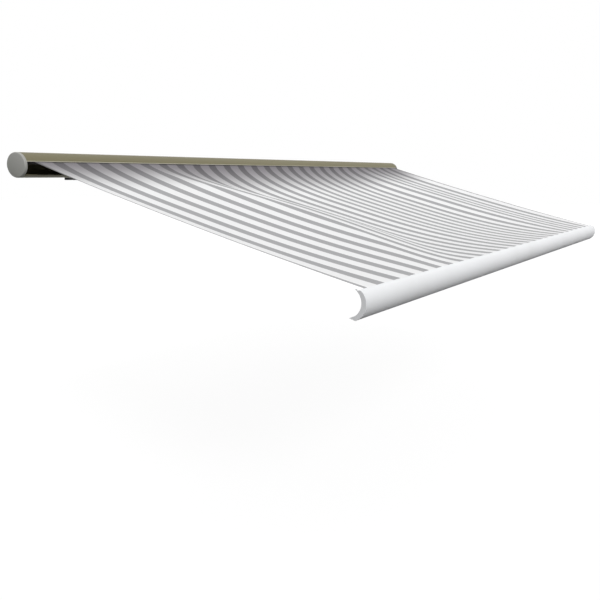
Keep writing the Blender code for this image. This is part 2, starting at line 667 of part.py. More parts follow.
def build_arm_mounts(side):
    word = side_name(side)
    tilt = fork_bracket("tilt_block_" + word, side, SHOULDER_S, 0.0, -1, TILT_WING, BARE_ALUMINIUM)
    chord = SHOULDER_S - FORK_REACH
    middle = SHOULDER_X + (TILT_WING - FORK_INNER) / 2
    holder = carrier("arm_bracket_" + word, side, chord - GAP, INNER_S - CURVED_SEAT, INNER_N - CURVED_SEAT,
                     -1, 0.0, TILT_WING + FORK_INNER, middle, BARE_ALUMINIUM)
    bolt_x = side * (SHOULDER_X + TILT_BOLT_X)
    top = SHOULDER_S - FORK_ROOT + GAP + TILT_BOLT_HEAD_HEIGHT
    frame = place(section_point(bolt_x, top, ARM_N), ACROSS, UP)
    shank = TILT_BOLT_HEAD_HEIGHT + GAP + FORK_REACH - FORK_ROOT + TILT_BOLT_GRIP
    stages = [(TILT_BOLT_HEAD, TILT_BOLT_HEAD_HEIGHT), (TILT_BOLT, shank - TILT_BOLT_HEAD_HEIGHT)]
    turned("tilt_bolt_" + word, rod_profile(stages, 0.0), 12, STEEL, frame)
    hole = place(section_point(bolt_x, chord, ARM_N), UP, ACROSS)
    through = 2 * (FORK_REACH - FORK_ROOT) + HOLE_OVERRUN
    cut(tilt, round_cutter("tilt_hole_" + word, TILT_BOLT + EYE_CLEARANCE, through, 12, hole))
    depth = 2 * (TILT_BOLT_GRIP + EYE_CLEARANCE)
    cut(holder, round_cutter("tilt_tap_" + word, TILT_BOLT + EYE_CLEARANCE, depth, 12, hole))
    shoulder = axis_empty("shoulder_pin_axis_" + word,
                          place(section_point(side * SHOULDER_X, SHOULDER_S, ARM_N), OUT, ACROSS))
    pivot_pin("shoulder_pin_" + word, shoulder, 0.0)
    fork_bracket("wrist_fork_" + word, side, WRIST_S, TRAVEL, 1, FORK_OUTER, BARE_ALUMINIUM)
    chord = WRIST_S + FORK_REACH + GAP
    middle = SHOULDER_X + (FORK_OUTER - FORK_INNER) / 2
    carrier("wrist_plate_" + word, side, chord, BAR_INNER_S - CURVED_SEAT, BAR_INNER_N - CURVED_SEAT, 1,
            TRAVEL, FORK_OUTER + FORK_INNER, middle, BARE_ALUMINIUM)
    wrist = axis_empty("wrist_pin_axis_" + word,
                       place(section_point(side * SHOULDER_X, WRIST_S, ARM_N, TRAVEL), OUT, ACROSS))
    pivot_pin("wrist_pin_" + word, wrist, 0.0)


def build_arm(side):
    word = side_name(side)
    hand = -side
    along = ACROSS * (hand * math.sin(OPEN_ANGLE)) + OUT * math.cos(OPEN_ANGLE)
    frame = place(section_point(side * SHOULDER_X, SHOULDER_S, ARM_N), along, UP.cross(along))
    upper = axis_empty(word + "_shoulder_axis", frame)
    eye(word + "_shoulder_eye", upper, 0.0, 1, hand, BARE_ALUMINIUM)
    fork(word + "_elbow_fork", upper, LINK, -1, hand, BARE_ALUMINIUM)
    arm_tube(word + "_upper_arm", upper, hand)
    pivot_pin(word + "_elbow_pin", upper, LINK)
    spring_and_cable(side, upper, hand)
    elbow = frame.translation + along * LINK
    back = ACROSS * (-hand * math.sin(OPEN_ANGLE)) + OUT * math.cos(OPEN_ANGLE)
    fore = axis_empty(word + "_elbow_axis", place(elbow, back, UP.cross(back)))
    eye(word + "_elbow_eye", fore, 0.0, 1, hand, BARE_ALUMINIUM)
    eye(word + "_wrist_eye", fore, LINK, -1, hand, BARE_ALUMINIUM)
    arm_tube(word + "_forearm", fore, hand)


# Front bar: a hollow crescent with a groove for the cloth's keder, and a flat cap on each end
def oval_angle(value, half):
    return math.asin(value / half)


def bar_tip_s():
    """How far out the bar's upper tip begins, where its inner face ends."""
    return BAR_INNER_S * math.cos(oval_angle(BAR_TIP_N, BAR_INNER_N))


def bar_outline():
    inner = oval_arc(BAR_INNER_S, BAR_INNER_N, oval_angle(BAR_FOOT_N, BAR_INNER_N),
                     oval_angle(BAR_TIP_N, BAR_INNER_N), 16)
    tip = bar_tip_s()
    mouth = [(tip, GROOVE_N - GROOVE_MOUTH), (tip, GROOVE_N + GROOVE_MOUTH)]
    half = math.asin(GROOVE_MOUTH / GROOVE_RADIUS)
    groove = oval_arc(GROOVE_RADIUS, GROOVE_RADIUS, math.pi + half, 3 * math.pi - half, 8,
                      (GROOVE_S, GROOVE_N))
    top = [(tip + BAR_TIP_BEVEL, BAR_TOP_N)]
    outer = oval_arc(BAR_OUTER_S, BAR_OUTER_N, oval_angle(BAR_TOP_N - BAR_TOP_ROUND, BAR_OUTER_N),
                     oval_angle(BAR_FOOT_N - BAR_FOOT_BEVEL, BAR_OUTER_N), 18, (BAR_CENTRE_S, 0.0))
    shelf = [(outer[0][0] - BAR_TOP_LAND, BAR_TOP_N)]
    return inner + [mouth[0]] + groove + [mouth[1]] + top + shelf + outer


def bar_hollow():
    """The bar's inside, one wall in from its inner and outer faces and clear of the groove."""
    low = oval_angle(BAR_FOOT_N + 2 * BAR_WALL, BAR_INNER_N + BAR_WALL)
    high = oval_angle(GROOVE_N - GROOVE_RADIUS - 3 * BAR_WALL, BAR_INNER_N + BAR_WALL)
    inner = oval_arc(BAR_INNER_S + BAR_WALL, BAR_INNER_N + BAR_WALL, low, high, 12)
    outer_low = oval_angle(BAR_FOOT_N + 2 * BAR_WALL, BAR_OUTER_N - BAR_WALL)
    outer_high = oval_angle(GROOVE_N - GROOVE_RADIUS - 3 * BAR_WALL, BAR_OUTER_N - BAR_WALL)
    outer = oval_arc(BAR_OUTER_S - BAR_WALL, BAR_OUTER_N - BAR_WALL, outer_high, outer_low, 12,
                     (BAR_CENTRE_S, 0.0))
    return inner + outer


def build_front_bar():
    bar_end = WIDTH / 2 - BAR_CAP
    frame = section_frame(0.0, TRAVEL)
    extrusion("front_bar", bar_outline(), [bar_hollow()], 2 * (bar_end - GAP), WHITE_PAINT, frame)
    for side in (-1, 1):
        cap_frame = section_frame(side * (bar_end + BAR_CAP / 2), TRAVEL)
        extrusion("front_bar_cap_" + side_name(side), bar_outline(), [], BAR_CAP, GREY_PAINT, cap_frame)
    keder = place(section_point(0.0, GROOVE_S, GROOVE_N, TRAVEL), OUT, UP)
    stages = [(KEDER_RADIUS, 2 * CLOTH_HALF)]
    turned("front_keder", rod_profile(stages, CLOTH_HALF), 10, BLACK_PLASTIC, keder)


# Wall brackets: saddles under and behind the cassette, each with a clamp jaw and its bolt
def wall_section(half_s, half_n, angle):
    """A point of the shell's oval as (y, z) from the cassette's axis."""
    s, n = half_s * math.cos(angle), half_n * math.sin(angle)
    return s * OUT.y + n * UP.y, s * OUT.z + n * UP.z


def saddle(start, end, steps):
    angles = [start + (end - start) * i / steps for i in range(steps + 1)]
    return [wall_section(SHELL_S + CURVED_SEAT, SHELL_N + CURVED_SEAT, a) for a in angles]


def build_wall_bracket(name, x):
    frame = place(AXIS + ACROSS * x, TO_WALL, HIGH)
    seat = saddle(BRACKET_TOP_ANGLE, BRACKET_FRONT_ANGLE, 18)
    foot = seat[-1][1] - BRACKET_DEPTH
    plate = WALL_TO_AXIS - BRACKET_PLATE
    heel = foot + BRACKET_FEET_CHAMFER
    outline = seat + [(seat[-1][0], foot), (BRACKET_PLATE, foot), (plate, heel + BRACKET_PLATE)]
    outline += [(plate, foot), (WALL_TO_AXIS, foot)]
    outline += [(WALL_TO_AXIS, BRACKET_TOP_Z), (seat[0][0], BRACKET_TOP_Z)]
    bracket = extrusion("wall_bracket_" + name, outline, [], BRACKET_WIDTH, BLACK_PAINT, frame)
    for number, z in enumerate(WALL_HOLES_Z):
        for sign in (-1, 1):
            hole = place(AXIS + Vector((x + sign * WALL_HOLE_X, plate, z)), ACROSS, -HIGH)
            tag = "wall_hole_{}_{}_{}".format(name, number, sign)
            cut(bracket, round_cutter(tag, WALL_HOLE, 4 * BRACKET_PLATE, 10, hole))
    jaw_seat = saddle(BRACKET_FRONT_ANGLE, CLAMP_FRONT_ANGLE, 4)
    jaw = [(y - GAP, z) for y, z in jaw_seat]
    face = jaw[-1][0]
    jaw += [(face, foot + BRACKET_FEET_CHAMFER), (face + BRACKET_FEET_CHAMFER, foot), (jaw[0][0], foot)]
    clamp = extrusion("bracket_clamp_" + name, jaw, [], BRACKET_WIDTH, BLACK_PAINT, frame)
    bolt_z = foot + BRACKET_DEPTH / 2
    bolt_frame = place(AXIS + Vector((x, face - GAP, bolt_z)), ACROSS, HIGH)
    reach = jaw[0][0] - face + CLAMP_BOLT_GRIP
    stages = [(CLAMP_BOLT_HEAD, CLAMP_BOLT_HEAD_HEIGHT), (CLAMP_BOLT, reach + GAP)]
    turned("clamp_bolt_" + name, rod_profile(stages, CLAMP_BOLT_HEAD_HEIGHT), 6, STEEL, bolt_frame)
    drill = round_cutter("clamp_hole_" + name, CLAMP_BOLT + EYE_CLEARANCE, 2 * (reach + EYE_CLEARANCE), 8,
                         place(AXIS + Vector((x, face, bolt_z)), ACROSS, HIGH))
    cut(bracket, drill)
    cut(clamp, drill)


build_shell()
for side in (-1, 1):
    build_end_cap(side)
    build_bearing_plate(side)
    build_arm_mounts(side)
    build_arm(side)
build_roller()
build_cloth()
build_front_bar()
for bracket_name, bracket_side in (("left", -1), ("centre", 0), ("right", 1)):
    build_wall_bracket(bracket_name, bracket_side * BRACKET_X)
bpy.context.view_layer.update()
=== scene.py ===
import json
import math

import bmesh
import bpy
import numpy as np
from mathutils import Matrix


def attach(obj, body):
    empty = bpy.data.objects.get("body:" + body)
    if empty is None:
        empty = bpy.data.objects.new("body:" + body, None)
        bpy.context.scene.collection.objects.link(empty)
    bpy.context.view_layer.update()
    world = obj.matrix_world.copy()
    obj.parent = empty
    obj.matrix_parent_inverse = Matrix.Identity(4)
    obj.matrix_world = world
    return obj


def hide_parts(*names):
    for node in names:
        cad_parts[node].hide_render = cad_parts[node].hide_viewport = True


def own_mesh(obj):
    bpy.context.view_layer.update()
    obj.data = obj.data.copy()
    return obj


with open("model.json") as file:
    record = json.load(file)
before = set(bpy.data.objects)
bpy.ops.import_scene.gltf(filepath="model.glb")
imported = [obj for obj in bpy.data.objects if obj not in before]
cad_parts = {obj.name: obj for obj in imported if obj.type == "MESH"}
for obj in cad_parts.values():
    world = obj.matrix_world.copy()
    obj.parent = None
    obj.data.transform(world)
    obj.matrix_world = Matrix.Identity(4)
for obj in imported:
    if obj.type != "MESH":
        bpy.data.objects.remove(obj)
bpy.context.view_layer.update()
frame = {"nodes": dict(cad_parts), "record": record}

# Camera. The awning is seen from its left front, a little below the height of the cassette,
# with a lens of about 47 mm. The place and both angles are those that the photograph was taken from.
CAMERA_PLACE = (-7.601, -5.148, -0.072)
CAMERA_DOWN = math.radians(9.179)
CAMERA_TURN = math.radians(-59.028)
CAMERA_LENS = 46.66
CAMERA_NEAR = 0.1
CAMERA_FAR = 200.0

camera_data = bpy.data.cameras.new("camera")
camera_data.lens = CAMERA_LENS
camera_data.clip_start = CAMERA_NEAR
camera_data.clip_end = CAMERA_FAR
camera = bpy.data.objects.new("camera", camera_data)
camera.location = CAMERA_PLACE
camera.rotation_euler = (math.pi / 2 - CAMERA_DOWN, 0.0, CAMERA_TURN)
bpy.context.scene.collection.objects.link(camera)
bpy.context.scene.camera = camera

# Wall brackets. Three black powder-coated saddles are bolted to the wall, and each holds the
# cassette with a clamp jaw that one hexagon bolt pulls against its lower edge.
BLACK = (0.026, 0.026, 0.027, 1.0)
BLACK_DUST = (0.085, 0.080, 0.072, 1.0)
STEEL = (0.50, 0.50, 0.51, 1.0)
STEEL_DULL = (0.30, 0.29, 0.28, 1.0)
CAST_EDGE = 0.0008
BOLT_EDGE = 0.0004
MERGE = 0.00001
FLAT_ANGLE = math.radians(1.0)
SHARP = math.radians(32.0)
PATCH_SCALE = 2.3
PATCH_DETAIL = 7.0
PATCH_ROUGHNESS = 0.62
PATCH_FROM = 0.42
PATCH_TO = 0.72
PATCH_GLOSS = 0.35
GRAIN_DETAIL = 2.0
GRAIN_GLOSS = 0.14


def add(tree, kind, inputs=None, **settings):
    """One node of a tree; each input takes a value or another node's output."""
    made = tree.nodes.new("ShaderNode" + kind)
    for name, value in settings.items():
        setattr(made, name, value)
    for name, value in (inputs or {}).items():
        if isinstance(value, bpy.types.NodeSocket):
            tree.links.new(value, made.inputs[name])
        else:
            made.inputs[name].default_value = value
    return made


def node_group(name, inputs, outputs):
    """An empty shader group with the named sockets; returns its tree, its inputs and its end node."""
    tree = bpy.data.node_groups.new(name, "ShaderNodeTree")
    for socket, kind in inputs.items():
        tree.interface.new_socket(socket, in_out="INPUT", socket_type="NodeSocket" + kind)
    for socket, kind in outputs.items():
        tree.interface.new_socket(socket, in_out="OUTPUT", socket_type="NodeSocket" + kind)
    return tree, tree.nodes.new("NodeGroupInput").outputs, tree.nodes.new("NodeGroupOutput")


def weathered_skin():
    """Group: a coat or metal skin with fine grain, broad patches of dust and slow changes of gloss."""
    tree, given, end = node_group(
        "weathered_skin",
        {"Colour": "Color", "Dust": "Color", "Dust Amount": "Float", "Grain Scale": "Float",
         "Grain Depth": "Float", "Roughness": "Float", "Stretch": "Vector"},
        {"Colour": "Color", "Roughness": "Float", "Normal": "Vector"})
    place = add(tree, "TexCoord").outputs["Object"]
    drawn = add(tree, "Mapping", {"Vector": place, "Scale": given["Stretch"]}).outputs["Vector"]
    broad = add(tree, "TexNoise", {"Vector": drawn, "Scale": PATCH_SCALE, "Detail": PATCH_DETAIL,
                                   "Roughness": PATCH_ROUGHNESS})
    fine = add(tree, "TexNoise", {"Vector": drawn, "Scale": given["Grain Scale"], "Detail": GRAIN_DETAIL})
    patch = add(tree, "MapRange", {"Value": broad.outputs["Fac"], "From Min": PATCH_FROM,
                                   "From Max": PATCH_TO, "To Min": 0.0,
                                   "To Max": given["Dust Amount"]}).outputs["Result"]
    colour = add(tree, "Mix", {"Factor": patch, "A": given["Colour"], "B": given["Dust"]}, data_type="RGBA")
    gloss = add(tree, "Math", {0: fine.outputs["Fac"], 1: GRAIN_GLOSS, 2: given["Roughness"]},
                operation="MULTIPLY_ADD").outputs[0]
    worn = add(tree, "Math", {0: patch, 1: PATCH_GLOSS, 2: gloss}, operation="MULTIPLY_ADD").outputs[0]
    bump = add(tree, "Bump", {"Height": fine.outputs["Fac"], "Distance": given["Grain Depth"]})
    tree.links.new(colour.outputs[2], end.inputs["Colour"])
    tree.links.new(worn, end.inputs["Roughness"])
    tree.links.new(bump.outputs["Normal"], end.inputs["Normal"])
    return tree


SKIN = weathered_skin()


def skin_material(name, colour, dust, amount, roughness, grain, stretch=(1.0, 1.0, 1.0), metallic=0.0,
                  specular=0.5):
    """A surface under the weathered skin; grain is (scale per metre, depth in metres)."""
    made = bpy.data.materials.new(name)
    made.use_nodes = True
    tree = made.node_tree
    shader = tree.nodes["Principled BSDF"]
    shader.inputs["Metallic"].default_value = metallic
    shader.inputs["Specular IOR Level"].default_value = specular
    skin = add(tree, "Group", node_tree=SKIN)
    values = {"Colour": colour, "Dust": dust, "Dust Amount": amount, "Grain Scale": grain[0],
              "Grain Depth": grain[1], "Roughness": roughness, "Stretch": stretch}
    for socket, value in values.items():
        skin.inputs[socket].default_value = value
    for output, socket in (("Colour", "Base Color"), ("Roughness", "Roughness"), ("Normal", "Normal")):
        tree.links.new(skin.outputs[output], shader.inputs[socket])
    return made


black_paint = skin_material("black_paint", BLACK, BLACK_DUST, amount=0.5, roughness=0.42,
                            grain=(700.0, 0.00010))
steel = skin_material("steel", STEEL, STEEL_DULL, amount=0.6, roughness=0.26, grain=(900.0, 0.00004),
                      metallic=1.0)

node_body = {node: body for body, nodes in frame["record"]["behaviour"]["bodies"].items() for node in nodes}


def soften(piece, width, segments=2):
    """Rounds a piece's sharp edges by width and shades the rest smooth."""
    piece.data.shade_smooth()
    piece.data.set_sharp_from_angle(angle=SHARP)
    bevel = piece.modifiers.new("rounded_edges", "BEVEL")
    bevel.width = width
    bevel.segments = segments
    bevel.limit_method = "ANGLE"
    bevel.angle_limit = SHARP
    bevel.harden_normals = True
    return piece


def settle(piece, material, slot, *nodes):
    """Gives a piece its material, and lets it stand for its nodes on their body; slot is not used."""
    piece.data.materials.clear()
    piece.data.materials.append(material)
    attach(piece, node_body[nodes[0]])
    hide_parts(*nodes)
    return piece


def finished(node, material, slot, edge):
    """A CAD node's solid with its loose triangles merged, its flats whole and its edges rounded."""
    bm = bmesh.new()
    bm.from_mesh(frame["nodes"][node].data)
    bmesh.ops.remove_doubles(bm, verts=bm.verts, dist=MERGE)
    bmesh.ops.dissolve_limit(bm, angle_limit=FLAT_ANGLE, verts=bm.verts, edges=bm.edges)
    mesh = bpy.data.meshes.new(node + "_finished")
    bm.to_mesh(mesh)
    bm.free()
    piece = bpy.data.objects.new(node + "_finished", mesh)
    bpy.context.scene.collection.objects.link(piece)
    return settle(soften(piece, edge), material, slot, node)


for side in ("left", "centre", "right"):
    finished("wall_bracket_" + side, black_paint, "black_paint", CAST_EDGE)
    finished("bracket_clamp_" + side, black_paint, "black_paint", CAST_EDGE)
    finished("clamp_bolt_" + side, steel, "steel", BOLT_EDGE)

# Hood and back profile. Two olive powder-coated aluminium extrusions make the cassette's oval
# shell; they hook together at the back, and the cloth runs out between their two lips. A round
# drip bead runs along the hood's lip; its paler olive is a painted highlight, the light that the lip
# catches.
SLOPE = math.radians(16.0)
WALL_TO_AXIS = 0.118
SHELL_S = 0.107
SHELL_N = 0.098
SHELL_WALL = 0.003
WIDTH = 7.0
CAP_DEPTH = 0.028
FIT_GAP = 0.0003
SHELL_HALF = WIDTH / 2 - CAP_DEPTH - FIT_GAP
HOOD_LIP = math.radians(34.7)
SEAM = math.radians(140.0)
SEAM_GAP = math.radians(0.3)
LOWER_LIP = math.radians(327.0)
LIP_BEAD = 0.006
SHELL_STEPS = 72
SHELL_EDGE = 0.0008
OLIVE = (0.178, 0.162, 0.094, 1.0)
OLIVE_DUST = (0.24, 0.222, 0.155, 1.0)
# Paler olive of the drip bead: a painted highlight where the hood's lip catches the light.
OLIVE_HIGHLIGHT = (0.52, 0.50, 0.40, 1.0)
MATT = 0.25
DRIP_BEAD = 0.0034
BEAD_PROUD = 0.0020
BEAD_DROP = 0.0015
BEAD_SIDES = 16
EXTRUDED = (0.25, 1.0, 1.0)
OUT = np.array((0.0, -math.cos(SLOPE), -math.sin(SLOPE)))
UP = np.array((0.0, -math.sin(SLOPE), math.cos(SLOPE)))
AXIS = np.array((0.0, -WALL_TO_AXIS, 0.0))


def place_section(x, s, n):
    """World points from arrays: x along the wall, s out along the slope, n square to it."""
    x, s, n = np.broadcast_arrays(x, s, n)
    along = np.zeros(x.shape + (3,))
    along[..., 0] = x
    return AXIS + along + s[..., None] * OUT + n[..., None] * UP


def oval(half_s, half_n, start, end, steps, centre=(0.0, 0.0)):
    """Points (steps + 1, 2) of an oval arc: centre + (half_s cos a, half_n sin a)."""
    a = np.linspace(start, end, steps + 1)
    return np.stack((centre[0] + half_s * np.cos(a), centre[1] + half_n * np.sin(a)), axis=1)


def grid_faces(rows, columns, close_rows=False, close_columns=False):
    """Quads of a grid of rows by columns of points, joined at its ends where asked."""
    r = np.arange(rows if close_rows else rows - 1)[:, None]
    c = np.arange(columns if close_columns else columns - 1)[None, :]
    r2, c2 = (r + 1) % rows, (c + 1) % columns
    corners = (r * columns + c, r * columns + c2, r2 * columns + c2, r2 * columns + c)
    return np.stack(corners, axis=-1).reshape(-1, 4)


def new_piece(name, points, faces):
    """An object at the origin with these points, its faces turned outwards."""
    mesh = bpy.data.meshes.new(name)
    mesh.from_pydata(points.reshape(-1, 3).tolist(), [], faces)
    bm = bmesh.new()
    bm.from_mesh(mesh)
    bmesh.ops.remove_doubles(bm, verts=bm.verts, dist=MERGE)
    bmesh.ops.recalc_face_normals(bm, faces=bm.faces)
    bm.to_mesh(mesh)
    bm.free()
    piece = bpy.data.objects.new(name, mesh)
    bpy.context.scene.collection.objects.link(piece)
    return piece


def extruded(name, outline, start, end, run=0.0):
    """A closed outline (s, n), moved run further out, carried along X from start to end."""
    count = len(outline)
    ends = np.array((start, end))[:, None]
    points = place_section(ends, outline[:, 0] + run, outline[:, 1])
    faces = grid_faces(2, count, close_columns=True).tolist()
    faces += [list(range(count))[::-1], list(range(count, 2 * count))]
    return new_piece(name, points, faces)


olive_paint = skin_material("olive_paint", OLIVE, OLIVE_DUST, amount=0.45, roughness=0.42,
                            grain=(900.0, 0.00005), stretch=EXTRUDED, specular=MATT)
# The drip bead's paler olive is a painted highlight along the lip, under the same dust and grain.
highlit_olive = skin_material("olive_highlight_paint", OLIVE_HIGHLIGHT, OLIVE_DUST, amount=0.5, roughness=0.35,
                           grain=(900.0, 0.00005), stretch=EXTRUDED)
inner_s, inner_n = SHELL_S - SHELL_WALL, SHELL_N - SHELL_WALL
bead_angle = HOOD_LIP + LIP_BEAD / SHELL_S
hood_outline = np.concatenate((
    oval(SHELL_S, SHELL_N, HOOD_LIP, SEAM, SHELL_STEPS),
    oval(inner_s, inner_n, SEAM, bead_angle, SHELL_STEPS),
    oval(inner_s - LIP_BEAD, inner_n - LIP_BEAD, bead_angle, HOOD_LIP, 1)))
back_outline = np.concatenate((
    oval(SHELL_S, SHELL_N, SEAM + SEAM_GAP, LOWER_LIP, 2 * SHELL_STEPS),
    oval(inner_s, inner_n, LOWER_LIP, SEAM + SEAM_GAP, 2 * SHELL_STEPS)))
for node, outline in (("hood", hood_outline), ("back_profile", back_outline)):
    shell = extruded(node + "_shell", outline, -SHELL_HALF, SHELL_HALF)
    settle(soften(shell, SHELL_EDGE), olive_paint, "olive_paint", node)
bead_in = DRIP_BEAD - BEAD_PROUD
bead_turn = HOOD_LIP - BEAD_DROP / SHELL_S
bead_place = ((SHELL_S - bead_in) * math.cos(bead_turn), (SHELL_N - bead_in) * math.sin(bead_turn))
bead_circle = oval(DRIP_BEAD, DRIP_BEAD, 0.0, 2 * math.pi, BEAD_SIDES, bead_place)[:-1]
drip_bead = extruded("hood_drip_bead", bead_circle, -SHELL_HALF, SHELL_HALF)
settle(soften(drip_bead, BOLT_EDGE), highlit_olive, "olive_paint", "hood")

# End caps. Two die-cast aluminium ovals, powder-coated grey, close the cassette's ends; each is a
# shallow cup with a domed face that runs over a rounded rim into its side.
CAP_EDGE = 0.010
CAP_DOME = 0.009
CAP_CROWN = 0.006
CAP_RIM_TURN = math.radians(72.0)
CAP_SIDES = 96
CAP_RIM_STEPS = 10
CAP_DOME_STEPS = 12
CAP_SOFTENING = 0.0003
GREY = (0.375, 0.375, 0.352, 1.0)
GREY_DUST = (0.46, 0.50, 0.42, 1.0)
grey_paint = skin_material("grey_paint", GREY, GREY_DUST, amount=0.7, roughness=0.45,
                           grain=(650.0, 0.00008), specular=MATT)


def turned_oval(name, profile, x, outward):
    """A profile (radius, height) turned about X and pressed to the shell's oval, facing outward."""
    a = np.linspace(0.0, 2 * math.pi, CAP_SIDES, endpoint=False)[None, :]
    radius, height = np.array(profile).T[..., None]
    points = place_section(x + outward * height, radius * np.cos(a), radius * np.sin(a) * SHELL_N / SHELL_S)
    return new_piece(name, points, grid_faces(len(profile), CAP_SIDES, True, True).tolist())


cap_top = CAP_DEPTH + CAP_CROWN
rim_centre = (SHELL_S - CAP_EDGE, cap_top - CAP_DOME - CAP_EDGE * math.sin(CAP_RIM_TURN))
cap_rim = oval(CAP_EDGE, CAP_EDGE, CAP_RIM_TURN, 0.0, CAP_RIM_STEPS, rim_centre)
dome_radius = cap_rim[0, 0] * np.sin(np.linspace(0.0, math.pi / 2, CAP_DOME_STEPS, endpoint=False))
cap_profile = [(r, cap_top - CAP_DOME * (r / cap_rim[0, 0]) ** 2) for r in dome_radius]
cap_profile += cap_rim.tolist()
cap_profile += [(SHELL_S, 0.0), (inner_s, 0.0), (inner_s, rim_centre[1] - SHELL_WALL)]
cap_profile += [(SHELL_S - CAP_EDGE, cap_top - CAP_DOME - SHELL_WALL), (0.0, cap_top - SHELL_WALL)]
for side, outward in (("left", -1), ("right", 1)):
    cap = turned_oval("end_cap_cup_" + side, cap_profile, outward * (WIDTH / 2 - CAP_DEPTH), outward)
    settle(soften(cap, CAP_SOFTENING, segments=1), grey_paint, "grey_paint", "end_cap_" + side)

# Bearing plates, roller, motor and idler. Cast plates screwed into the shell's ends carry the
# aluminium roller tube, which a tubular motor turns from inside at its left end.
ALUMINIUM = (0.60, 0.61, 0.62, 1.0)
ALUMINIUM_DULL = (0.42, 0.42, 0.43, 1.0)
PLASTIC = (0.035, 0.035, 0.036, 1.0)
PLASTIC_DUST = (0.09, 0.088, 0.082, 1.0)
TURNED_EDGE = 0.0005
DRAWN = (0.02, 1.0, 1.0)
cast_aluminium = skin_material("bare_aluminium", ALUMINIUM, ALUMINIUM_DULL, amount=0.6, roughness=0.36,
                               grain=(420.0, 0.00012), metallic=1.0)
drawn_aluminium = skin_material("drawn_aluminium", ALUMINIUM, ALUMINIUM_DULL, amount=0.4, roughness=0.28,
                                grain=(1400.0, 0.00004), stretch=DRAWN, metallic=1.0)
black_plastic = skin_material("black_plastic", PLASTIC, PLASTIC_DUST, amount=0.3, roughness=0.5,
                              grain=(1500.0, 0.00004))
for side in ("left", "right"):
    finished("bearing_plate_" + side, cast_aluminium, "bare_aluminium", TURNED_EDGE)
finished("roller_tube", drawn_aluminium, "bare_aluminium", TURNED_EDGE)
finished("motor_tube", steel, "steel", TURNED_EDGE)
for node in ("motor_head", "drive_wheel", "idler_plug", "idler_bush"):
    finished(node, black_plastic, "black_plastic", TURNED_EDGE)

# Arm brackets. Cast aluminium holders in the cassette carry the tilt blocks, whose bolts set the
# slope, and forks and plates of the same casting hold the arms' far ends on the front bar.
for side in ("left", "right"):
    for node in ("arm_bracket_", "tilt_block_", "wrist_fork_", "wrist_plate_"):
        finished(node + side, cast_aluminium, "bare_aluminium", CAST_EDGE)
    for node in ("tilt_bolt_", "shoulder_pin_", "wrist_pin_"):
        finished(node + side, steel, "steel", BOLT_EDGE)

# Folding arms. Each is two white powder-coated aluminium tubes between castings, with a tension
# spring and a steel cable inside the upper one that push the front bar out.
WHITE = (0.88, 0.89, 0.905, 1.0)
WHITE_DUST = (0.74, 0.745, 0.74, 1.0)
white_paint = skin_material("white_paint", WHITE, WHITE_DUST, amount=0.25, roughness=0.55,
                            grain=(800.0, 0.00005), specular=MATT / 2)
for side in ("left", "right"):
    for node in ("_upper_arm", "_forearm"):
        finished(side + node, white_paint, "white_paint", TURNED_EDGE)
    for node in ("_shoulder_eye", "_elbow_fork", "_elbow_eye", "_wrist_eye"):
        finished(side + node, cast_aluminium, "bare_aluminium", CAST_EDGE)
    for node in ("_elbow_pin", "_arm_spring", "_arm_cable"):
        finished(side + node, steel, "steel", BOLT_EDGE)

# Front bar. A white powder-coated crescent extrusion closes round the cassette when it is wound in;
# a groove along its top holds the cloth's keder, and a flat cap with a hooked tip closes each end.
TRAVEL = 3.0
BAR_INNER_S = 0.1105
BAR_INNER_N = 0.1015
BAR_TIP_N = 0.084
BAR_FOOT_N = -0.089
BAR_CENTRE_S = 0.040
BAR_OUTER_S = 0.105
BAR_OUTER_N = 0.109
BAR_TOP_N = 0.098
BAR_TOP_LAND = 0.008
BAR_TOP_ROUND = 0.003
BAR_FOOT_BEVEL = 0.001
BAR_TIP_BEVEL = 0.002
HOOK_S = 0.044
HOOK_POINTS = [(0.046, 0.098), (0.054, 0.098), (0.060, 0.0925), (0.066, 0.0925), (0.068, 0.098)]
BAR_CAP = 0.006
BAR_EDGE = 0.0010
BAR_STEPS = 64
GROOVE_S = 0.0715
GROOVE_N = 0.092
GROOVE_RADIUS = 0.004
GROOVE_MOUTH = 0.0016
GROOVE_STEPS = 20

bar_tip = BAR_INNER_S * math.cos(math.asin(BAR_TIP_N / BAR_INNER_N))
mouth_turn = math.asin(GROOVE_MOUTH / GROOVE_RADIUS)
bar_outer = oval(BAR_OUTER_S, BAR_OUTER_N, math.asin((BAR_TOP_N - BAR_TOP_ROUND) / BAR_OUTER_N),
                 math.asin((BAR_FOOT_N - BAR_FOOT_BEVEL) / BAR_OUTER_N), BAR_STEPS, (BAR_CENTRE_S, 0.0))
bar_groove = np.concatenate((
    [(bar_tip, GROOVE_N - GROOVE_MOUTH)],
    oval(GROOVE_RADIUS, GROOVE_RADIUS, math.pi + mouth_turn, 3 * math.pi - mouth_turn, GROOVE_STEPS,
         (GROOVE_S, GROOVE_N)),
    [(bar_tip, GROOVE_N + GROOVE_MOUTH), (bar_tip + BAR_TIP_BEVEL, BAR_TOP_N)]))
bar_shelf = [(bar_outer[0, 0] - BAR_TOP_LAND, BAR_TOP_N)]
foot_turn = math.asin(BAR_FOOT_N / BAR_INNER_N)
bar_inner = oval(BAR_INNER_S, BAR_INNER_N, foot_turn, math.asin(BAR_TIP_N / BAR_INNER_N), BAR_STEPS)
cap_inner = oval(BAR_INNER_S, BAR_INNER_N, foot_turn, math.acos(HOOK_S / BAR_INNER_S), BAR_STEPS)
bar_outline = np.concatenate((bar_inner, bar_groove, bar_shelf, bar_outer))
cap_outline = np.concatenate((cap_inner, HOOK_POINTS, bar_shelf, bar_outer))
bar_half = WIDTH / 2 - BAR_CAP
bar = extruded("front_bar_profile", bar_outline, -bar_half + FIT_GAP, bar_half - FIT_GAP, TRAVEL)
settle(soften(bar, BAR_EDGE), white_paint, "white_paint", "front_bar")
for side, outward in (("left", -1), ("right", 1)):
    cap = extruded("bar_cap_plate_" + side, cap_outline, outward * bar_half, outward * WIDTH / 2, TRAVEL)
    settle(soften(cap, BAR_EDGE), white_paint, "grey_paint", "front_bar_cap_" + side)
